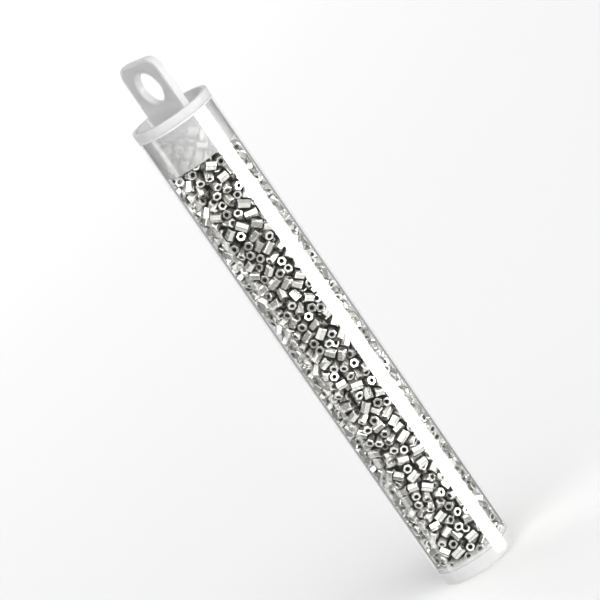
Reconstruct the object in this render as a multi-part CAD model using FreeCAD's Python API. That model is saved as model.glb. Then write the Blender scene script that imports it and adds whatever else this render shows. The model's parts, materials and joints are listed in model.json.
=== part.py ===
import FreeCAD, Part
import math
import os
import random

os.makedirs("parts", exist_ok=True)
V = FreeCAD.Vector

# Driving dimensions, in mm. The vial stands on its base: +Z runs up the tube and the origin is
# the centre of the base. The hang tab is wide along X and thin along Y.

# Tube: clear, moulded with a little draft, with a thick solid base
TUBE_LENGTH = 101.6
TUBE_MOUTH_R = 8.0
TUBE_FOOT_R = 7.916
TUBE_WALL = 0.55
BASE_THICK = 2.9
BASE_CORNER_R = 0.7
FLOOR_CORNER_R = 0.12
MOUTH_EDGE_R = 0.12

# Cap: a flange that sits on the mouth, a hollow plug below it and a dished top
PLUG_R = 7.41
PLUG_DEPTH = 8.34
PLUG_BORE_R = 6.72
PLUG_STEP_DEPTH = 3.15
PLUG_STEP = 0.08
FLANGE_R = 8.04
FLANGE_THICK = 1.78
FLANGE_UNDER_R = 0.5
LIP_WIDTH = 1.2
DISH_DEPTH = 2.35
DISH_DRAFT = 0.22
DISH_FLOOR_THICK = 0.85
DISH_CORNER_R = 0.35
PLUG_LEAD_R = 0.25
EDGE_R = 0.15

# Hang tab: its foot stands on the dish floor; heights are above the rim of the cap
TAB_WIDTH = 12.2
TAB_THICK = 1.5
TAB_HEIGHT = 10.9
TAB_CORNER_R = 2.8
TAB_BEVEL = 0.18
TAB_DRAFT = 0.06
TAB_FOOT_HEIGHT = 0.3
TAB_FOOT_EXTRA = 0.06
TAB_FOOT_INSET = 0.5
HOLE_R = 3.25
HOLE_HEIGHT = 5.27
HOLE_EDGE_R = 0.3

# Beads: six-sided lengths of cane with a round bore
BEAD_R = 0.9
BEAD_BORE_R = 0.45
BEAD_LENGTHS = (1.9, 2.1, 2.3)
BEAD_GAP = 0.02
BEAD_LAYERS = 12

# How the beads are poured
SEED = 7
TRIES = 100
NUDGES = 200
NUDGE = 0.12
WALL_SHARE = 0.5
MAX_SLOPE = 0.75
CELL = 3.0
COLUMN_DEPTH = 10
MAX_MISSES = 40

# Levels along the tube that follow from the dimensions above
RIM_Z = TUBE_LENGTH + FLANGE_THICK
DISH_Z = RIM_Z - DISH_DEPTH
CEILING_Z = DISH_Z - DISH_FLOOR_THICK
PLUG_END_Z = TUBE_LENGTH - PLUG_DEPTH


def tube_outer_r(z):
    """Outer radius of the drafted tube at height z."""
    return TUBE_FOOT_R + (TUBE_MOUTH_R - TUBE_FOOT_R) * z / TUBE_LENGTH


def revolve(points):
    """Turn a closed outline of (radius, height) points once round Z."""
    outline = Part.makePolygon([V(r, 0, z) for r, z in points + points[:1]])
    return Part.Face(outline).revolve(V(0, 0, 0), V(0, 0, 1), 360)


def round_rims(shape, rims):
    """Round circular edges, each given as (radius of the circle, height, rounding)."""
    for circle_r, z, rounding in rims:
        edges = [e for e in shape.Edges
                 if isinstance(e.Curve, Part.Circle)
                 and abs(e.Curve.Radius - circle_r) < 0.01
                 and abs(e.Curve.Center.z - z) < 0.01]
        shape = shape.makeFillet(rounding, edges)
    return shape


# ---- tube ----
def make_tube():
    mouth_bore = TUBE_MOUTH_R - TUBE_WALL
    floor_r = tube_outer_r(BASE_THICK) - TUBE_WALL
    tube = revolve([(0, 0), (TUBE_FOOT_R, 0), (TUBE_MOUTH_R, TUBE_LENGTH),
                    (mouth_bore, TUBE_LENGTH), (floor_r, BASE_THICK), (0, BASE_THICK)])
    return round_rims(tube, [(TUBE_FOOT_R, 0, BASE_CORNER_R),
                             (floor_r, BASE_THICK, FLOOR_CORNER_R),
                             (TUBE_MOUTH_R, TUBE_LENGTH, MOUTH_EDGE_R),
                             (mouth_bore, TUBE_LENGTH, MOUTH_EDGE_R)])


# ---- cap ----
def tab_outline(inset, y):
    """Arch-topped outline of the tab, shrunk by inset, in the plane at y."""
    half = TAB_WIDTH / 2 - inset
    top = RIM_Z + TAB_HEIGHT - inset
    foot = DISH_Z - DISH_FLOOR_THICK / 2
    r = TAB_CORNER_R - inset
    lean = r * math.sqrt(0.5)
    left, right = -half + r, half - r

    def at(x, z):
        return V(x, y, z)

    return Part.Wire([
        Part.makeLine(at(-half, foot), at(-half, top - r)),
        Part.Arc(at(-half, top - r), at(left - lean, top - r + lean), at(left, top)).toShape(),
        Part.makeLine(at(left, top), at(right, top)),
        Part.Arc(at(right, top), at(right + lean, top - r + lean), at(half, top - r)).toShape(),
        Part.makeLine(at(half, top - r), at(half, foot)),
        Part.makeLine(at(half, foot), at(-half, foot))])


def make_tab():
    """Tab drafted both ways from a ridge at mid thickness, with bevelled faces and a round hole."""
    half = TAB_THICK / 2
    sections = [(TAB_DRAFT + TAB_BEVEL, -half), (TAB_DRAFT, TAB_BEVEL - half), (0, 0),
                (TAB_DRAFT, half - TAB_BEVEL), (TAB_DRAFT + TAB_BEVEL, half)]
    tab = Part.makeLoft([tab_outline(inset, y) for inset, y in sections], True, True)
    hole = Part.makeCylinder(HOLE_R, 3 * TAB_THICK, V(0, -1.5 * TAB_THICK, RIM_Z + HOLE_HEIGHT),
                             V(0, 1, 0))
    tab = tab.cut(hole)
    rims = [e for e in tab.Edges
            if isinstance(e.Curve, Part.Circle) and abs(e.Curve.Radius - HOLE_R) < 0.01]
    return tab.makeFillet(HOLE_EDGE_R, rims)


def make_tab_foot():
    """The slightly thicker foot of the tab, from the dish floor to just above the rim."""
    half = TAB_THICK / 2
    low, high = DISH_Z - DISH_FLOOR_THICK / 2, RIM_Z + TAB_FOOT_HEIGHT
    x = TAB_WIDTH / 2 - TAB_FOOT_INSET
    outline = [(-half - TAB_FOOT_EXTRA, low), (half + TAB_FOOT_EXTRA, low),
               (half + TAB_FOOT_EXTRA, high - TAB_FOOT_EXTRA), (half, high),
               (-half, high), (-half - TAB_FOOT_EXTRA, high - TAB_FOOT_EXTRA)]
    wire = Part.makePolygon([V(-x, y, z) for y, z in outline + outline[:1]])
    return Part.Face(wire).extrude(V(2 * x, 0, 0))


def make_cap():
    lip_r = FLANGE_R - LIP_WIDTH
    dish_r = lip_r - DISH_DRAFT
    upper_bore = PLUG_BORE_R - PLUG_STEP
    step_z = TUBE_LENGTH - PLUG_STEP_DEPTH
    cap = revolve([(0, CEILING_Z), (upper_bore, CEILING_Z), (upper_bore, step_z),
                   (PLUG_BORE_R, step_z - PLUG_STEP), (PLUG_BORE_R, PLUG_END_Z),
                   (PLUG_R, PLUG_END_Z), (PLUG_R, TUBE_LENGTH), (FLANGE_R, TUBE_LENGTH),
                   (FLANGE_R, RIM_Z), (lip_r, RIM_Z), (dish_r, DISH_Z), (0, DISH_Z)])
    cap = round_rims(cap, [(PLUG_R, PLUG_END_Z, PLUG_LEAD_R),
                           (PLUG_BORE_R, PLUG_END_Z, EDGE_R),
                           (upper_bore, CEILING_Z, DISH_CORNER_R),
                           (FLANGE_R, TUBE_LENGTH, FLANGE_UNDER_R),
                           (FLANGE_R, RIM_Z, EDGE_R),
                           (lip_r, RIM_Z, EDGE_R),
                           (dish_r, DISH_Z, DISH_CORNER_R)])
    return cap.fuse([make_tab(), make_tab_foot()]).removeSplitter()


# ---- beads ----
class Bead:
    """One bead: its frame of directions, its half length and, once poured, its centre."""

    def __init__(self, turn, slope, roll, half):
        self.turn, self.slope, self.roll, self.half = turn, slope, roll, half
        ct, st, ce, se = math.cos(turn), math.sin(turn), math.cos(slope), math.sin(slope)
        self.axis = (ce * ct, ce * st, se)
        across, over = (-st, ct, 0.0), (-se * ct, -se * st, ce)

        def around(k):
            c, s = math.cos(roll + k * math.pi / 6), math.sin(roll + k * math.pi / 6)
            return tuple(c * a + s * o for a, o in zip(across, over))

        self.normals = [around(k) for k in (0, 2, 4)]
        self.corners = [around(k) for k in (1, 3, 5)]
        self.own_axes = [(self.axis, half)] + [(n, BEAD_R * math.cos(math.pi / 6))
                                               for n in self.normals]
        self.rise = self.reach((0.0, 0.0, 1.0))
        self.offsets = [(e * half * self.axis[0] + s * BEAD_R * c[0],
                         e * half * self.axis[1] + s * BEAD_R * c[1])
                        for e in (-1, 1) for s in (-1, 1) for c in self.corners]

    def reach(self, a):
        """How far the bead reaches from its centre along the unit vector a."""
        ax, ay, az = a
        d = self.axis
        side = max(abs(ax * c[0] + ay * c[1] + az * c[2]) for c in self.corners)
        return self.half * abs(ax * d[0] + ay * d[1] + az * d[2]) + BEAD_R * side

    def wall_distance(self, turn, wall_r):
        """How far from the tube's axis the bead can sit, in direction turn, before it meets the wall."""
        ux, uy = math.cos(turn), math.sin(turn)
        room = wall_r
        for ox, oy in self.offsets:
            along = ux * ox + uy * oy
            square = wall_r * wall_r - ox * ox - oy * oy + along * along
            room = min(room, math.sqrt(square) - along)
        return room


REACH = 2 * math.hypot(BEAD_R, max(BEAD_LENGTHS) / 2)


def rest_height(bead, x, y, near, floor):
    """Height of the centre at which the bead, let down at x, y, first meets the floor or a bead.

    Two beads are apart if any one direction parts them. Along each direction the heights at which
    they would meet form one interval, so together they are blocked only where all intervals meet.
    """
    z = floor + bead.rise + BEAD_GAP
    dx_, dy_, dz_ = bead.axis
    for other in near:
        if other.z + REACH <= z:
            continue
        dx, dy = x - other.x, y - other.y
        if dx * dx + dy * dy > REACH * REACH:
            continue
        low, high = -REACH, REACH
        ox, oy, oz = other.axis
        cross = (dy_ * oz - dz_ * oy, dz_ * ox - dx_ * oz, dx_ * oy - dy_ * ox)
        size = math.sqrt(cross[0] ** 2 + cross[1] ** 2 + cross[2] ** 2)
        pairs = [(a, r, other) for a, r in bead.own_axes]
        pairs += [(a, r, bead) for a, r in other.own_axes]
        if size > 1e-6:
            a = (cross[0] / size, cross[1] / size, cross[2] / size)
            pairs.append((a, other.reach(a), bead))
        for a, own, far in pairs:
            limit = own + far.reach(a) + BEAD_GAP
            shift = dx * a[0] + dy * a[1]
            if abs(a[2]) < 1e-9:
                if abs(shift) >= limit:
                    break
                continue
            start, end = (-limit - shift) / a[2], (limit - shift) / a[2]
            if start > end:
                start, end = end, start
            low, high = max(low, start), min(high, end)
            if low >= high or other.z + high <= z:
                break
        else:
            z = other.z + high
    return z


def let_down(bead, turn, fraction, wall_r, columns):
    """Let the bead down at the given share of the way out to the wall, and set where it rests."""
    distance = fraction * bead.wall_distance(turn, wall_r)
    bead.turn_out, bead.fraction = turn, fraction
    bead.x, bead.y = distance * math.cos(turn), distance * math.sin(turn)
    i, j = math.floor(bead.x / CELL), math.floor(bead.y / CELL)
    near = [other for a in (i - 1, i, i + 1) for b in (j - 1, j, j + 1)
            for other in columns.get((a, b), [])[-COLUMN_DEPTH:]]
    near.sort(key=lambda other: -other.z)
    bead.z = rest_height(bead, bead.x, bead.y, near, BASE_THICK + FLOOR_CORNER_R)
    return bead


def best_of_tries(rng, half, wall_r, columns):
    """Try a bead in many places, half of them against the wall, then nudge the lowest lower still."""
    best = None
    for _ in range(TRIES):
        fraction = 1.0 if rng.random() < WALL_SHARE else math.sqrt(rng.random())
        slope = math.asin(rng.uniform(-MAX_SLOPE, MAX_SLOPE))
        bead = Bead(rng.uniform(0, 2 * math.pi), slope, rng.uniform(0, math.pi / 3), half)
        let_down(bead, rng.uniform(0, 2 * math.pi), fraction, wall_r, columns)
        best = bead if best is None or bead.z < best.z else best
    for _ in range(NUDGES):
        bead = Bead(best.turn + rng.gauss(0, NUDGE), best.slope + rng.gauss(0, NUDGE),
                    best.roll + rng.gauss(0, NUDGE), half)
        fraction = min(1.0, abs(best.fraction + rng.choice((0, NUDGE)) * rng.gauss(0, 0.4)))
        let_down(bead, best.turn_out + rng.gauss(0, 0.4 * NUDGE), fraction, wall_r, columns)
        best = bead if bead.z < best.z else best
    return best


def pour_beads():
    """Fill the tube up to the plug's end, then the hollow plug, one bead at a time."""
    rng = random.Random(SEED)
    columns = {}
    beads = []
    bore_r = tube_outer_r(BASE_THICK) - TUBE_WALL
    for wall_r, ceiling in ((bore_r, PLUG_END_Z), (PLUG_BORE_R - PLUG_STEP, CEILING_Z)):
        misses = 0
        while misses < MAX_MISSES:
            bead = best_of_tries(rng, rng.choice(BEAD_LENGTHS) / 2, wall_r - BEAD_GAP, columns)
            if bead.z + bead.rise > ceiling - BEAD_GAP:
                misses += 1
                continue
            misses = 0
            cell = (math.floor(bead.x / CELL), math.floor(bead.y / CELL))
            columns.setdefault(cell, []).append(bead)
            beads.append(bead)
    return beads


def make_cane(length):
    """A bead standing on end at the origin, centred."""
    corners = [V(BEAD_R * math.cos(k * math.pi / 3), BEAD_R * math.sin(k * math.pi / 3), -length / 2)
               for k in range(7)]
    cane = Part.Face(Part.makePolygon(corners)).extrude(V(0, 0, length))
    return cane.cut(Part.makeCylinder(BEAD_BORE_R, length, V(0, 0, -length / 2)))


def place_bead(cane, bead):
    """The cane moved to where the bead came to rest."""
    z_dir, x_dir = V(*bead.axis), V(*bead.corners[0])
    solid = cane.copy()
    solid.Placement = FreeCAD.Placement(V(bead.x, bead.y, bead.z),
                                        FreeCAD.Rotation(x_dir, z_dir.cross(x_dir), z_dir, "ZXY"))
    return solid


make_tube().exportStep("parts/tube.step")
make_cap().exportStep("parts/cap.step")

canes = {length / 2: make_cane(length) for length in BEAD_LENGTHS}
beads = pour_beads()
layer_height = (CEILING_Z - BASE_THICK) / BEAD_LAYERS
for layer in range(BEAD_LAYERS):
    low = BASE_THICK + layer * layer_height
    solids = [place_bead(canes[b.half], b) for b in beads if low <= b.z < low + layer_height]
    Part.makeCompound(solids).exportStep("parts/beads_%02d.step" % (layer + 1))
print("beads:", len(beads))
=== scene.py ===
# %% [markdown]
# # A hang tube of hex-cut beads
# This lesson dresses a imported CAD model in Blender. The object is a clear plastic tube, closed by
# a frosted push-in cap with a hang tab, and full of small silver beads. We load the CAD first,
# because every place and size below is taken from it.

import json
import math
import random

import bmesh
import bpy
from mathutils import Matrix, Vector

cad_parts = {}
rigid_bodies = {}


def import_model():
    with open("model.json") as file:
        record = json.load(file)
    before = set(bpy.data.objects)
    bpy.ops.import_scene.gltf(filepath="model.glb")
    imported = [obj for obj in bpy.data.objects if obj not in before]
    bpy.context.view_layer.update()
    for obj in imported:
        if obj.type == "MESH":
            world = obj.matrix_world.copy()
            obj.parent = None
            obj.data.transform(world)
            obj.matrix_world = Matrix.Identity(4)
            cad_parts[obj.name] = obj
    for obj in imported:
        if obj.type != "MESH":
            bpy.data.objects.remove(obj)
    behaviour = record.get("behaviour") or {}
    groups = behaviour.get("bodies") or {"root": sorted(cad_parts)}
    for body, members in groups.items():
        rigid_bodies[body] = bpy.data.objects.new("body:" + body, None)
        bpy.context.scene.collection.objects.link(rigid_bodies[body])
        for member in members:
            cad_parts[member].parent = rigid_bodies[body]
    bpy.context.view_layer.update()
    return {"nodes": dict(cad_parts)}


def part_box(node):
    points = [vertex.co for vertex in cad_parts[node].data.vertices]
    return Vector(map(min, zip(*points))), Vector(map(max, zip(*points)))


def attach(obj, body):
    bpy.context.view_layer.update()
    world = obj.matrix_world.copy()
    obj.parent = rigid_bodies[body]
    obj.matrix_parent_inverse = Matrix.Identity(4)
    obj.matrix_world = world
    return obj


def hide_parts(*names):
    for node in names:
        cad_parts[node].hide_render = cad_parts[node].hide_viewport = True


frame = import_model()
MM = 0.001

# %% [markdown]
# The levels of the object come from the CAD nodes: the mouth of the tube is the top of the node
# "tube", and the top of the tab is the top of the node "cap". The rest are the sizes that a mould
# maker would read off the drawing.

# %% Sizes
mouth_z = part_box("tube")[1].z
tube_mouth_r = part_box("tube")[1].x
tube_foot_r = tube_mouth_r - 0.084 * MM
tube_wall, base_thick = 0.55 * MM, 2.9 * MM
plug_end_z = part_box("cap")[0].z
flange_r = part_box("cap")[1].x
tab_top_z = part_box("cap")[1].z
tab_w, tab_t, tab_corner_r = 12.2 * MM, 1.5 * MM, 2.8 * MM
rim_z = tab_top_z - 10.9 * MM
dish_z = rim_z - 2.35 * MM
ceiling_z = dish_z - 0.85 * MM
hole_r, hole_z = 3.25 * MM, rim_z + 5.27 * MM
print("mouth", round(mouth_z / MM, 2), "rim", round(rim_z / MM, 2),
      "tab top", round(tab_top_z / MM, 2))

# %% [markdown]
# ## Camera
# A long lens far away keeps the tube's sides almost parallel, as in a catalogue picture. The
# camera looks a little down on the upright tube, and its roll lays the tube across the frame.
# The Standard view keeps white plastic white; the default view would grey it.

# %% Camera
VIEW_TURN = math.radians(57.0)
VIEW_RISE = math.radians(12.99)
VIEW_ROLL = math.radians(-34.7)
VIEW_DISTANCE = 0.782
pivot = Vector((0, 0, 0.052))
aim_point = Vector((0, 0, 0.0605))


def from_tube(turn, rise=0.0):
    """Direction from the tube toward a place this far round it and this high."""
    return Vector((math.sin(turn) * math.cos(rise), -math.cos(turn) * math.cos(rise),
                   math.sin(rise)))


camera_data = bpy.data.cameras.new("camera")
camera_data.lens = 254.5
camera_data.sensor_width = 36
camera_data.clip_end = 20
camera = bpy.data.objects.new("camera", camera_data)
camera.location = pivot + VIEW_DISTANCE * from_tube(VIEW_TURN, VIEW_RISE)
looking = (aim_point - camera.location).to_track_quat("-Z", "Y").to_matrix()
camera.rotation_euler = (looking @ Matrix.Rotation(VIEW_ROLL, 3, "Z")).to_euler()
bpy.context.scene.collection.objects.link(camera)
bpy.context.scene.camera = camera
bpy.context.scene.view_settings.view_transform = "Standard"
print("camera at", tuple(round(c, 3) for c in camera.location))


# %% [markdown]
# ## Small helpers
# Nodes are easier to read when one call makes a node, sets its inputs and links them. The other
# helpers give the four nodes that we use most a name that says what they are for.

# %% Node helpers
def new_material(name):
    """An empty node material with an output, and a helper that adds nodes to it."""
    material = bpy.data.materials.new(name)
    material.use_nodes = True
    tree = material.node_tree
    tree.nodes.clear()
    output = tree.nodes.new("ShaderNodeOutputMaterial")

    def add(kind, inputs=None, **settings):
        node = tree.nodes.new("ShaderNode" + kind)
        for key, value in settings.items():
            setattr(node, key, value)
        for key, value in (inputs or {}).items():
            if isinstance(value, bpy.types.NodeSocket):
                tree.links.new(value, node.inputs[key])
            else:
                node.inputs[key].default_value = value
        return node

    return material, output, add


def finish_material(material, output, shader):
    material.node_tree.links.new(shader, output.inputs["Surface"])
    print("material:", material.name, "of", len(material.node_tree.nodes), "nodes")


def grey(level):
    return level, level, level, 1


def ramp(add, value, start, end, low=0.0, high=1.0, kind="LINEAR"):
    """Runs from low to high while the value runs from start to end, and is flat outside."""
    return add("MapRange", {"Value": value, "From Min": start, "From Max": end,
                            "To Min": low, "To Max": high}, interpolation_type=kind).outputs[0]


def figure(add, operation, first, second):
    """The result of one Math node."""
    return add("Math", {0: first, 1: second}, operation=operation).outputs[0]


def between(add, share, first, second):
    """A colour between two: a share of 1 gives the second."""
    return add("Mix", {"Factor": share, "A": first, "B": second},
               data_type="RGBA").outputs["Result"]


def blend(add, share, first, second):
    """A mix of two shaders: a share of 1 gives the second."""
    return add("MixShader", {0: share, 1: first, 2: second}).outputs[0]


# %% [markdown]
# A mould's parting edges are never knife sharp, so every ring of a turned shape gets a small
# bevel. A bevel at the end of a long straight run would tilt the shading of the whole run, so
# the outline gets extra points near the ends of each run before it is spun.

# %% Mesh helpers
SAME_PLACE = 2e-6


def sharpen(bm, angle=math.radians(32)):
    """Smooth shading everywhere but at edges that turn more than the angle."""
    for face in bm.faces:
        face.smooth = True
    for edge in bm.edges:
        edge.smooth = edge.calc_face_angle(0) < angle


def new_piece(name, bm, materials):
    mesh = bpy.data.meshes.new(name)
    bm.to_mesh(mesh)
    bm.free()
    for material in materials:
        mesh.materials.append(material)
    piece = bpy.data.objects.new(name, mesh)
    bpy.context.scene.collection.objects.link(piece)
    return piece


def held(outline, margin=1.2 * MM, pitch=8 * MM):
    """Add points near both ends of each long run and along it, so that rounding stays local."""
    points = [Vector(p) for p in outline]
    result = points[:1]
    for start, end in zip(points, points[1:]):
        run = end - start
        if run.length > 3 * margin:
            inset = run.normalized() * margin
            inner_start, inner_end = start + inset, end - inset
            parts = max(1, round((inner_end - inner_start).length / pitch))
            result += [inner_start.lerp(inner_end, k / parts) for k in range(parts + 1)]
        result.append(end)
    return result


def turned(outline, steps=144):
    """Spin a closed (radius, height) outline round Z into a solid of revolution."""
    bm = bmesh.new()
    verts = [bm.verts.new((r, 0, z)) for r, z in held(outline)]
    edges = [bm.edges.new(pair) for pair in zip(verts, verts[1:])]
    bmesh.ops.spin(bm, geom=verts + edges, cent=(0, 0, 0), axis=(0, 0, 1),
                   angle=2 * math.pi, steps=steps, use_merge=True)
    bmesh.ops.remove_doubles(bm, verts=bm.verts, dist=1e-7)
    bmesh.ops.recalc_face_normals(bm, faces=bm.faces)
    return bm


def bevelled(bm, edges, width, segments):
    bmesh.ops.bevel(bm, geom=edges, offset=width, offset_type="OFFSET", affect="EDGES",
                    segments=segments, profile=0.5, material=-1)


def round_ring(bm, radius, height, rounding, segments=4):
    """Round the ring of edges that lies at this radius and height."""
    def on_ring(vert):
        return (abs(math.hypot(vert.co.x, vert.co.y) - radius) < SAME_PLACE
                and abs(vert.co.z - height) < SAME_PLACE)

    ring = [e for e in bm.edges if all(on_ring(v) for v in e.verts)]
    bevelled(bm, ring, rounding, segments)


# %% [markdown]
# ## Floor
# The floor is a large pale sheet. It lies a hair under the base, because two faces in one plane
# fight over which is seen, and it is hidden from reflections and from rays that come out of the
# plastic: its image on the inside of the wall would lay a grey haze over the beads.

# %% Floor
floor_material, floor_output, add = new_material("pale_floor")
floor_shader = add("BsdfPrincipled", {"Base Color": grey(0.79), "Roughness": 0.9,
                                      "Specular IOR Level": 0.0})
finish_material(floor_material, floor_output, floor_shader.outputs[0])
bm = bmesh.new()
bmesh.ops.create_grid(bm, x_segments=1, y_segments=1, size=6)
bmesh.ops.translate(bm, vec=(0, 0, -0.2 * MM), verts=bm.verts)
floor = new_piece("floor", bm, [floor_material])
floor.visible_glossy = False
floor.visible_transmission = False
floor.visible_shadow = False

# %% [markdown]
# ## World
# Polished plastic and silver show the room more than their own colour, so the world is built as
# a studio: a bright ceiling at the camera's side, a bright backdrop behind the tube, light from
# under it, and dark walls. An upright wall only mirrors what lies a little below eye level, so
# the front stays dark there, and the plastic is clear in front of the beads.

# %% World
world = bpy.data.worlds.new("studio")
bpy.context.scene.world = world
world.use_nodes = True
sky = world.node_tree
direction = sky.nodes.new("ShaderNodeTexCoord").outputs["Generated"]


def sky_ramp(pointing, start, end, low=0.0, high=1.0):
    """Brightness that climbs from low to high as a direction turns toward a pointing vector."""
    toward = sky.nodes.new("ShaderNodeVectorMath")
    toward.operation = "DOT_PRODUCT"
    toward.inputs[1].default_value = pointing
    sky.links.new(direction, toward.inputs[0])
    climb = sky.nodes.new("ShaderNodeMapRange")
    climb.interpolation_type = "SMOOTHSTEP"
    for socket, value in ((1, start), (2, end), (3, low), (4, high)):
        climb.inputs[socket].default_value = value
    sky.links.new(toward.outputs["Value"], climb.inputs[0])
    return climb.outputs[0]


def joined(first, second, operation):
    """The brighter (MAXIMUM) or the darker (MINIMUM) of two ramps."""
    both = sky.nodes.new("ShaderNodeMath")
    both.operation = operation
    sky.links.new(first, both.inputs[0])
    sky.links.new(second, both.inputs[1])
    return both.outputs[0]


ceiling = sky_ramp(from_tube(VIEW_TURN, math.radians(45)), 0.52, 0.8, 0.14, 1.5)
underlight = sky_ramp((0, 0, -1), 0.42, 0.65)
behind = sky_ramp(-from_tube(VIEW_TURN), 0.72, 0.93, 0.0, 0.98)
below_eye_level = joined(sky_ramp((0, 0, 1), -0.5, -0.35), sky_ramp((0, 0, -1), 0.0, 0.1),
                         "MINIMUM")
backdrop = joined(behind, below_eye_level, "MINIMUM")
brightness = joined(joined(ceiling, underlight, "MAXIMUM"), backdrop, "MAXIMUM")
sky.links.new(brightness, sky.nodes["Background"].inputs["Color"])
print("world nodes:", len(sky.nodes))

# %% [markdown]
# ## Lights
# Tall bright cards at both sides show as long clean streaks on the plastic. They are seen by
# glossy surfaces only, so they don't flatten the cap. A few narrow, dimmer cards beside the main
# one soften the edge of its streak. The two fills are the other way round: seen by diffuse
# surfaces only, they light the cap and the floor and leave the plastic clear.

# %% Light cards
STREAK_LOW, STREAK_HIGH = -0.17, 0.10
FILL_LOW, FILL_HIGH = 0.0, 0.9


def card(name, turn, distance, width, low, high, brightness, seen_by="glossy"):
    """An upright light card, turned from the camera's side of the tube and facing the tube."""
    angle = VIEW_TURN + math.radians(turn)
    light = bpy.data.lights.new(name, "AREA")
    light.shape = "RECTANGLE"
    light.size, light.size_y = width, high - low
    light.energy = brightness * math.pi * width * (high - low)
    lamp = bpy.data.objects.new(name, light)
    lamp.location = distance * from_tube(angle) + Vector((0, 0, (low + high) / 2))
    lamp.rotation_euler = (math.radians(90), 0, angle)
    lamp.visible_camera = False
    lamp.visible_diffuse = seen_by == "diffuse"
    lamp.visible_glossy = lamp.visible_transmission = seen_by == "glossy"
    bpy.context.scene.collection.objects.link(lamp)
    print("card:", name, "at", turn, "degrees")


card("main_streak", 71, 0.5, 0.39, STREAK_LOW, STREAK_HIGH, 18)
for turn, width, strength in ((94.5, 0.04, 3), (98.5, 0.04, 0.8), (106, 0.10, 0.12)):
    card("streak_edge", turn, 0.5, width, STREAK_LOW, STREAK_HIGH, strength)
card("side_streak", -88, 0.5, 0.14, STREAK_LOW, STREAK_HIGH, 2.0)
card("bead_light", -20, 0.7, 0.6, 0.2, 0.7, 3.6)
card("front_fill", 30, 1.4, 1.2, FILL_LOW, FILL_HIGH, 5.4, seen_by="diffuse")
card("back_fill", -150, 1.4, 1.2, FILL_LOW, FILL_HIGH, 4.4, seen_by="diffuse")

# %% Overhead light
overhead_data = bpy.data.lights.new("overhead", "AREA")
overhead_data.shape = "DISK"
overhead_data.size = 2.0
overhead_data.energy = 6
overhead = bpy.data.objects.new("overhead", overhead_data)
overhead.location = (0, 0, 1.8)
overhead.visible_camera = False
bpy.context.scene.collection.objects.link(overhead)
print("overhead light:", overhead_data.energy, "W")

# %% [markdown]
# ## Clear plastic
# The tube is moulded polystyrene: clear, glossy, a little more bending than window glass. A path
# tracer would stop lamps at glass, so shadow rays and soft bounced rays go straight through. The
# thick base and the cut edge of the mouth catch light inside the plastic and look milky. A real
# milky look needs a slow volume, so we mix in a share of a white that scatters both ways.


# %% Clear plastic
def soft_rays(add):
    """1 for rays that carry soft light, from a lamp or from another dull surface."""
    path = add("LightPath")
    return figure(add, "MAXIMUM", path.outputs["Is Shadow Ray"], path.outputs["Is Diffuse Ray"])


def scattering(add, level):
    """A dull white that is lit from either side."""
    lit_from_behind = add("BsdfTranslucent", {"Color": grey(level)})
    lit_from_front = add("BsdfDiffuse", {"Color": grey(level)})
    return blend(add, 0.5, lit_from_behind.outputs[0], lit_from_front.outputs[0])


clear_plastic, clear_output, add = new_material("clear_plastic")
place = add("TexCoord").outputs["Object"]
stretched = add("Mapping", {"Vector": place, "Scale": (900, 900, 60)})
flow = add("TexNoise", {"Vector": stretched.outputs[0], "Scale": 1.0, "Detail": 2.0})
gloss = ramp(add, flow.outputs["Fac"], 0.0, 1.0, 0.0, 0.03)
glass = add("BsdfPrincipled", {"Base Color": (0.985, 0.99, 0.992, 1), "IOR": 1.59,
                               "Transmission Weight": 1.0, "Roughness": gloss})
height = add("SeparateXYZ", {"Vector": place}).outputs["Z"]
in_base = ramp(add, height, base_thick - 0.05 * MM, base_thick + 0.05 * MM, 0.7, 0.0)
at_edge = add("Attribute", attribute_name="moulded_edge").outputs["Fac"]
milky_share = figure(add, "MAXIMUM", at_edge, in_base)
body = blend(add, milky_share, glass.outputs[0], scattering(add, 0.88))
straight_through = add("BsdfTransparent", {"Color": grey(0.95)})
surface = blend(add, soft_rays(add), body, straight_through.outputs[0])
finish_material(clear_plastic, clear_output, surface)

# %% [markdown]
# ## Tube
# The tube is one moulding: a straight, slightly tapered wall and a thick flat base. A turned
# outline gives both in one closed solid, which glass needs, because light has to enter and leave
# it. The attribute "moulded_edge" marks the mouth and the inner corner of the floor as milky; an
# extra ring just below the mouth keeps that mark narrow.

# %% Tube
EDGE_BAND = 0.15 * MM
mouth_bore = tube_mouth_r - tube_wall
floor_r = tube_foot_r + (tube_mouth_r - tube_foot_r) * base_thick / mouth_z
floor_bore = floor_r - tube_wall
below_mouth = mouth_z - 0.45 * MM
bm = turned([(0, 0), (tube_foot_r, 0), (tube_mouth_r, below_mouth), (tube_mouth_r, mouth_z),
             (mouth_bore, mouth_z), (mouth_bore, below_mouth), (floor_bore, base_thick),
             (0, base_thick)])
round_ring(bm, tube_foot_r, 0, 0.7 * MM, 6)
round_ring(bm, floor_bore, base_thick, 0.12 * MM, 3)
round_ring(bm, tube_mouth_r, mouth_z, 0.12 * MM, 3)
round_ring(bm, mouth_bore, mouth_z, 0.12 * MM, 3)
milky_layer = bm.verts.layers.float.new("moulded_edge")
for vert in bm.verts:
    radius = math.hypot(vert.co.x, vert.co.y)
    at_mouth = vert.co.z > mouth_z - EDGE_BAND
    at_floor = (abs(vert.co.z - base_thick) < EDGE_BAND
                and floor_bore - EDGE_BAND < radius < floor_bore + 0.05 * MM)
    vert[milky_layer] = 0.85 * (at_mouth or at_floor)
sharpen(bm)
tube = new_piece("clear_tube", bm, [clear_plastic])
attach(tube, "vial")
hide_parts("tube")
print("tube faces:", len(tube.data.polygons))
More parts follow.
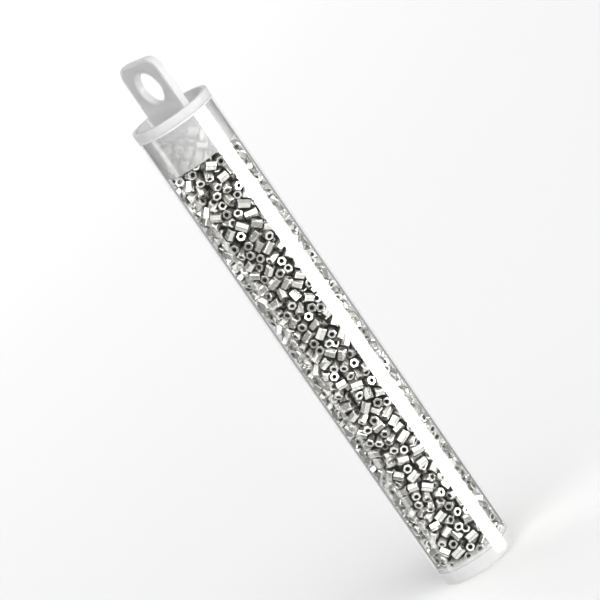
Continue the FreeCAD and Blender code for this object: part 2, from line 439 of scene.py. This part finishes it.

# %% [markdown]
# ## Frosted plastic
# The cap is soft milky polyethylene. It scatters most light and lets a faint picture of the
# beads through. Its plug is lighter and clearer than its top, so tone and clearness change
# with height, at the level of the dish's floor.

# %% Frosted plastic
frosted, frosted_output, add = new_material("frosted_plastic")
place = add("TexCoord").outputs["Object"]
height = add("SeparateXYZ", {"Vector": place}).outputs["Z"]
grain = add("TexNoise", {"Vector": place, "Scale": 9000.0, "Detail": 3.0}).outputs["Fac"]
cloud = add("TexNoise", {"Vector": place, "Scale": 350.0, "Detail": 2.0}).outputs["Fac"]
in_plug = ramp(add, height, dish_z - 0.05 * MM, dish_z - 0.35 * MM)
top_tone = between(add, cloud, grey(0.54), grey(0.60))
plug_tone = between(add, cloud, grey(0.84), grey(0.90))
tone = between(add, in_plug, top_tone, plug_tone)
satin = ramp(add, grain, 0.0, 1.0, 0.35, 0.48)
bump = add("Bump", {"Height": grain, "Strength": 0.03, "Distance": 0.00002})
body = add("BsdfPrincipled", {"Base Color": tone, "Roughness": satin, "IOR": 1.49,
                              "Normal": bump.outputs[0]})
glow = add("BsdfTranslucent", {"Color": tone})
clear = add("BsdfGlass", {"Color": grey(0.93), "Roughness": 0.05, "IOR": 1.49})
cloudy = blend(add, 0.35, body.outputs[0], glow.outputs[0])
clear_share = ramp(add, in_plug, 0.0, 1.0, 0.36, 0.62)
inner = blend(add, clear_share, cloudy, clear.outputs[0])
print("frosted body: clear share 0.36 in the top, 0.62 in the plug")

# %% [markdown]
# Light that enters a milky plate runs along inside it and comes out at its edges, so the rim of
# the tab, the edge of its hole and the flange look lighter than its faces. Real scattering would
# be slow, so this light is painted: we work out how near a point is to each edge and mix in a
# lighter scattering white there, a painted glow. The tab's lower part, toward its foot, and the
# outer band of the flange get the same painted glow. The rim is the outline of a plate with
# round corners: past the start of a corner the distance is round, elsewhere it is straight.

# %% Lighter rims, a painted glow
FLANGE_BAND = 0.6 * MM
mirrored = add("VectorMath", {0: place}, operation="ABSOLUTE").outputs[0]
corner_start = (tab_w / 2 - tab_corner_r, 1.0, tab_top_z - tab_corner_r)
offset = add("VectorMath", {0: mirrored, 1: corner_start}, operation="SUBTRACT").outputs[0]
past = add("VectorMath", {0: offset, 1: (0, 0, 0)}, operation="MAXIMUM").outputs[0]
round_part = add("VectorMath", {0: past}, operation="LENGTH").outputs["Value"]
sides = add("SeparateXYZ", {"Vector": offset})
nearest_side = figure(add, "MAXIMUM", sides.outputs["X"], sides.outputs["Z"])
reach = figure(add, "ADD", round_part, figure(add, "MINIMUM", nearest_side, 0.0))
at_rim = ramp(add, reach, tab_corner_r - 0.8 * MM, tab_corner_r - 0.35 * MM, kind="SMOOTHSTEP")

from_hole = add("VectorMath", {0: place, 1: (0, 0, hole_z)}, operation="SUBTRACT").outputs[0]
in_plane = add("VectorMath", {0: from_hole, 1: (1, 0, 1)}, operation="MULTIPLY").outputs[0]
hole_gap = add("VectorMath", {0: in_plane}, operation="LENGTH").outputs["Value"]
at_hole = ramp(add, hole_gap, hole_r + 0.6 * MM, hole_r + 0.3 * MM, kind="SMOOTHSTEP")
on_tab_edges = figure(add, "MULTIPLY", figure(add, "MAXIMUM", at_rim, at_hole),
                      ramp(add, height, rim_z, rim_z + 0.5 * MM, 0.0, 0.75))

# Painted glow: the tab near its foot and the outer band of the flange are painted lighter.
toward_foot = ramp(add, height, rim_z + 4.0 * MM, rim_z + 1.0 * MM, 0.0, 0.85)
above_dish = ramp(add, height, dish_z + 0.1 * MM, dish_z + 0.5 * MM)
from_axis = add("VectorMath", {0: place, 1: (1, 1, 0)}, operation="MULTIPLY").outputs[0]
radius = add("VectorMath", {0: from_axis}, operation="LENGTH").outputs["Value"]
on_flange = ramp(add, radius, flange_r - 1.0 * MM, flange_r - FLANGE_BAND)
across_tab = add("SeparateXYZ", {"Vector": mirrored}).outputs["Y"]
on_tab = ramp(add, across_tab, 0.95 * MM, 0.85 * MM)
painted_glow_low = figure(add, "MULTIPLY", figure(add, "MULTIPLY", toward_foot, above_dish),
                   figure(add, "MAXIMUM", on_flange, on_tab))
painted_glow_share = figure(add, "MAXIMUM", on_tab_edges, painted_glow_low)
print("lighter rims: tab, hole, foot and flange")

# %% [markdown]
# At last the parts are mixed. Soft rays pass through the cap only in part, because it is milky:
# the beads under it are lit, and it still throws a shadow.

# %% Frosted plastic, put together
# Painted glow: a lighter scattering white is mixed in at the rims, the hole, the tab's foot and the
# flange's edge.
milky_and_painted_glow = blend(add, painted_glow_share, inner, scattering(add, 0.76))
straight_through = add("BsdfTransparent", {"Color": grey(0.97)})
passing = figure(add, "MULTIPLY", soft_rays(add), 0.6)
surface = blend(add, passing, milky_and_painted_glow, straight_through.outputs[0])
finish_material(frosted, frosted_output, surface)

# %% [markdown]
# ## Cap
# The body of the cap is round, so it is turned like the tube: a hollow plug with a small step in
# its bore, a flange that rests on the mouth, and a dish on top. The flange stops a hair above
# the mouth, because faces that touch exactly trap light between them.

# %% Cap body
plug_r, plug_bore = 7.41 * MM, 6.72 * MM
upper_bore, step_z = 6.64 * MM, mouth_z - 3.15 * MM
seat_z = mouth_z + 0.03 * MM
lip_r, dish_r = flange_r - 1.2 * MM, flange_r - 1.42 * MM
bm = turned([(0, ceiling_z), (upper_bore, ceiling_z), (upper_bore, step_z),
             (plug_bore, step_z - 0.08 * MM), (plug_bore, plug_end_z), (plug_r, plug_end_z),
             (plug_r, seat_z), (flange_r, seat_z), (flange_r, rim_z), (lip_r, rim_z),
             (dish_r, dish_z), (0, dish_z)])
round_ring(bm, plug_r, plug_end_z, 0.25 * MM)
round_ring(bm, plug_bore, plug_end_z, 0.15 * MM)
round_ring(bm, upper_bore, ceiling_z, 0.35 * MM)
round_ring(bm, flange_r, seat_z, 0.5 * MM, 6)
round_ring(bm, flange_r, rim_z, 0.15 * MM)
round_ring(bm, lip_r, rim_z, 0.15 * MM)
round_ring(bm, dish_r, dish_z, 0.35 * MM)
cap = new_piece("hang_cap", bm, [frosted])
print("cap body faces:", len(cap.data.polygons))

# %% [markdown]
# The tab is a flat plate with two round corners. We bevel the corners first, then all its
# edges, and only then punch the hole, so the bevel of the hole stays round. Union joins the tab
# and its slightly thicker foot to the cap, because the real cap is one moulding.

# %% Hang tab
tab_low = dish_z - 0.4 * MM


def plate(width, thick, low, high):
    """An upright plate, wide along X."""
    bm = bmesh.new()
    bmesh.ops.create_cube(bm, size=1)
    bmesh.ops.scale(bm, vec=(width, thick, high - low), verts=bm.verts)
    bmesh.ops.translate(bm, vec=(0, 0, (low + high) / 2), verts=bm.verts)
    return bm


def runs_along(edge, axis):
    """Whether an edge of the plate changes along this axis (0 for X, 1 for Y)."""
    return abs(edge.verts[0].co[axis] - edge.verts[1].co[axis]) > 1e-9


def joined_solid(piece, operation, other):
    """Add or cut another piece with a Boolean, and drop the other piece."""
    modifier = piece.modifiers.new("join", "BOOLEAN")
    modifier.operation, modifier.object, modifier.solver = operation, other, "EXACT"
    bpy.context.view_layer.update()
    graph = bpy.context.evaluated_depsgraph_get()
    mesh = bpy.data.meshes.new_from_object(piece.evaluated_get(graph))
    piece.modifiers.clear()
    piece.data = mesh
    bpy.data.objects.remove(other)


bm = plate(tab_w, tab_t, tab_low, tab_top_z)
corners = [e for e in bm.edges
           if not runs_along(e, 0) and all(v.co.z > hole_z for v in e.verts)]
bevelled(bm, corners, tab_corner_r, 14)
rims = [e for e in bm.edges
        if not runs_along(e, 1) and not all(v.co.z < dish_z for v in e.verts)]
bevelled(bm, rims, 0.2 * MM, 3)
tab = new_piece("tab", bm, [frosted])
print("tab faces before the hole:", len(tab.data.polygons))

# %% Hole in the tab
bm = bmesh.new()
bmesh.ops.create_cone(bm, cap_ends=True, segments=72, radius1=hole_r, radius2=hole_r,
                      depth=3 * tab_t)
bmesh.ops.rotate(bm, cent=(0, 0, 0), matrix=Matrix.Rotation(math.radians(90), 3, "X"),
                 verts=bm.verts)
bmesh.ops.translate(bm, vec=(0, 0, hole_z), verts=bm.verts)
joined_solid(tab, "DIFFERENCE", new_piece("punch", bm, []))
bm = bmesh.new()
bm.from_mesh(tab.data)
hole_rims = [e for e in bm.edges
             if all(abs(math.hypot(v.co.x, v.co.z - hole_z) - hole_r) < SAME_PLACE
                    for v in e.verts) and not runs_along(e, 1)]
bevelled(bm, hole_rims, 0.3 * MM, 4)
bm.to_mesh(tab.data)
bm.free()
print("edges round the hole:", len(hole_rims))

# %% One cap
joined_solid(cap, "UNION", tab)
bm = plate(tab_w - 1.0 * MM, tab_t + 0.12 * MM, tab_low, rim_z + 0.3 * MM)
joined_solid(cap, "UNION", new_piece("foot", bm, [frosted]))
bm = bmesh.new()
bm.from_mesh(cap.data)
sharpen(bm)
bm.to_mesh(cap.data)
bm.free()
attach(cap, "cap")
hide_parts("cap")
print("cap faces:", len(cap.data.polygons))

# %% [markdown]
# ## Silver beads
# Each bead is a short length of six-sided glass cane with silver plating. Its finish is a mirror
# with a little dull white in it. "tone" gives each bead a plating of its own and "bore" browns the
# hole. The rest is painted shade: an attribute darkens the beads that lie deep in the heap, away
# from the wall, and the occlusion node darkens the cracks between beads, where little light gets
# in; it looks only at the beads themselves.

# %% Silvering
silver, silver_output, add = new_material("silvered_bead")
tone = add("Attribute", attribute_name="tone").outputs["Fac"]
bore = add("Attribute", attribute_name="bore").outputs["Fac"]
painted_light_near_wall = add("Attribute", attribute_name="painted_light_near_wall").outputs["Fac"]
place = add("TexCoord").outputs["Object"]
mottle = add("TexNoise", {"Vector": place, "Scale": 1800.0, "Detail": 3.0}).outputs["Fac"]
plating = between(add, tone, (0.78, 0.77, 0.72, 1), (0.98, 0.97, 0.93, 1))
silvered = between(add, bore, plating, (0.16, 0.135, 0.10, 1))
crack = add("AmbientOcclusion", {"Distance": 0.9 * MM}, samples=6, only_local=True)
open_share = ramp(add, crack.outputs["AO"], 0.3, 0.8)
light_share = figure(add, "MULTIPLY", painted_light_near_wall, open_share)
# Painted shade: beads deep in the heap and the cracks between beads turn toward near black.
colour = between(add, light_share, (0.02, 0.016, 0.010, 1), silvered)
polish = ramp(add, mottle, 0.3, 0.7, 0.06, 0.18)
bump = add("Bump", {"Height": mottle, "Strength": 0.15, "Distance": 0.00003})
metal = add("BsdfPrincipled", {"Base Color": colour, "Metallic": 0.78, "Roughness": polish,
                               "Normal": bump.outputs[0]})
finish_material(silver, silver_output, metal.outputs[0])

# %% [markdown]
# We model one bead for each length. The end is the face between a hexagon and a circle, and
# extruding it makes the cane with its bore. The outer edges get one narrow bevel that catches
# the light. With well over a thousand beads, each has only a few dozen faces.

# %% One bead
BEAD_R, BORE_R = 0.9 * MM, 0.45 * MM


def bead_mesh(half):
    """A short hexagonal cane with a round bore and softened edges, standing on end."""
    bm = bmesh.new()
    for radius, segments in ((BEAD_R, 6), (BORE_R, 12)):
        bmesh.ops.create_circle(bm, cap_ends=False, segments=segments, radius=radius)
    bmesh.ops.translate(bm, vec=(0, 0, -half), verts=bm.verts)
    end = bmesh.ops.triangle_fill(bm, use_beauty=True, edges=bm.edges[:], normal=(0, 0, 1))
    faces = [part for part in end["geom"] if isinstance(part, bmesh.types.BMFace)]
    grown = bmesh.ops.extrude_face_region(bm, geom=faces, use_keep_orig=True)
    top = [part for part in grown["geom"] if isinstance(part, bmesh.types.BMVert)]
    bmesh.ops.translate(bm, vec=(0, 0, 2 * half), verts=top)
    bmesh.ops.recalc_face_normals(bm, faces=bm.faces)
    outer = [e for e in bm.edges
             if all(math.hypot(v.co.x, v.co.y) > 0.9 * BEAD_R for v in e.verts)]
    bevelled(bm, outer, 0.07 * MM, 1)
    inside = bm.faces.layers.float.new("bore")
    for face in bm.faces:
        in_bore = all(math.hypot(v.co.x, v.co.y) < 1.1 * BORE_R for v in face.verts)
        face[inside] = float(in_bore)
        face.smooth = in_bore
    mesh = bpy.data.meshes.new("bead")
    bm.to_mesh(mesh)
    bm.free()
    print("bead of half length", round(half / MM, 2), "mm:", len(mesh.polygons), "faces")
    return mesh


# %% [markdown]
# The CAD already holds the poured heap, so we don't pour again: each bead there is a separate
# island of vertices, and its twelve outer corners give its place, turn and length.

# %% Where the beads lie
def islands(bm):
    """Groups of joined vertices, one group for each bead."""
    left = set(bm.verts)
    while left:
        group, edge = set(), {left.pop()}
        while edge:
            vert = edge.pop()
            group.add(vert)
            near = {e.other_vert(vert) for e in vert.link_edges} & left
            left -= near
            edge |= near
        yield group


def bead_pose(verts):
    """Half length and placing matrix of one CAD bead, read from its twelve corners."""
    centre = sum((v.co for v in verts), Vector()) / len(verts)
    corners = sorted((v.co.copy() for v in verts), key=lambda c: -(c - centre).length)[:12]
    centre = sum(corners, Vector()) / 12
    first = corners[0]
    across_end = 2.05 * BEAD_R
    twin = min((c for c in corners if (c - first).length > across_end),
               key=lambda c: (c - first).length)
    axis = (twin - first).normalized()
    side = (first - centre) - (first - centre).dot(axis) * axis
    side.normalize()
    turn = Matrix((side, axis.cross(side), axis)).transposed().to_4x4()
    return (twin - first).length / 2, Matrix.Translation(centre) @ turn


# %% [markdown]
# The heap is built in the CAD's twelve layers. Each bead draws its tone by lot, with a fixed
# seed, and each of its corners notes how far it lies from the wall round the heap: the tube's
# wall, or the bore of the plug for the beads that lie inside the cap. The material paints shade
# from that distance: the deeper a corner lies, the darker it is painted.

# %% Fill the tube
dice = random.Random(11)
FULL_LIGHT, NO_LIGHT = 0.9 * MM, 3.2 * MM
patterns = {}
total = 0
for number in range(1, 13):
    node = frame["nodes"]["beads_%02d" % number]
    cad = bmesh.new()
    cad.from_mesh(node.data)
    bmesh.ops.remove_doubles(cad, verts=cad.verts, dist=1e-7)
    heap = bmesh.new()
    tone_layer = heap.verts.layers.float.new("tone")
    painted_light_layer = heap.verts.layers.float.new("painted_light_near_wall")
    poses = sorted((bead_pose(group) for group in islands(cad)),
                   key=lambda pose: tuple(pose[1].translation))
    cad.free()
    for half, matrix in poses:
        key = round(half / MM, 2)
        if key not in patterns:
            patterns[key] = bead_mesh(half)
        start = len(heap.verts)
        heap.from_mesh(patterns[key])
        heap.verts.ensure_lookup_table()
        fresh = heap.verts[start:]
        bmesh.ops.transform(heap, matrix=matrix, verts=fresh)
        tone = dice.random()
        wall_r = upper_bore if matrix.translation.z > plug_end_z else mouth_bore
        for vert in fresh:
            vert[tone_layer] = tone
            # Painted shade: the deeper a corner lies in the heap, the darker the material paints
            # it.
            depth = wall_r - math.hypot(vert.co.x, vert.co.y)
            light = 1 - (depth - FULL_LIGHT) / (NO_LIGHT - FULL_LIGHT)
            vert[painted_light_layer] = min(1.0, max(0.0, light))
    layer = new_piece("silver_beads_%02d" % number, heap, [silver])
    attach(layer, "vial")
    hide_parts("beads_%02d" % number)
    total += len(poses)
print("beads:", total, "lengths:", sorted(patterns))

# %% [markdown]
# Last, the scene is brought up to date.

# %% Finish
bpy.context.view_layer.update()
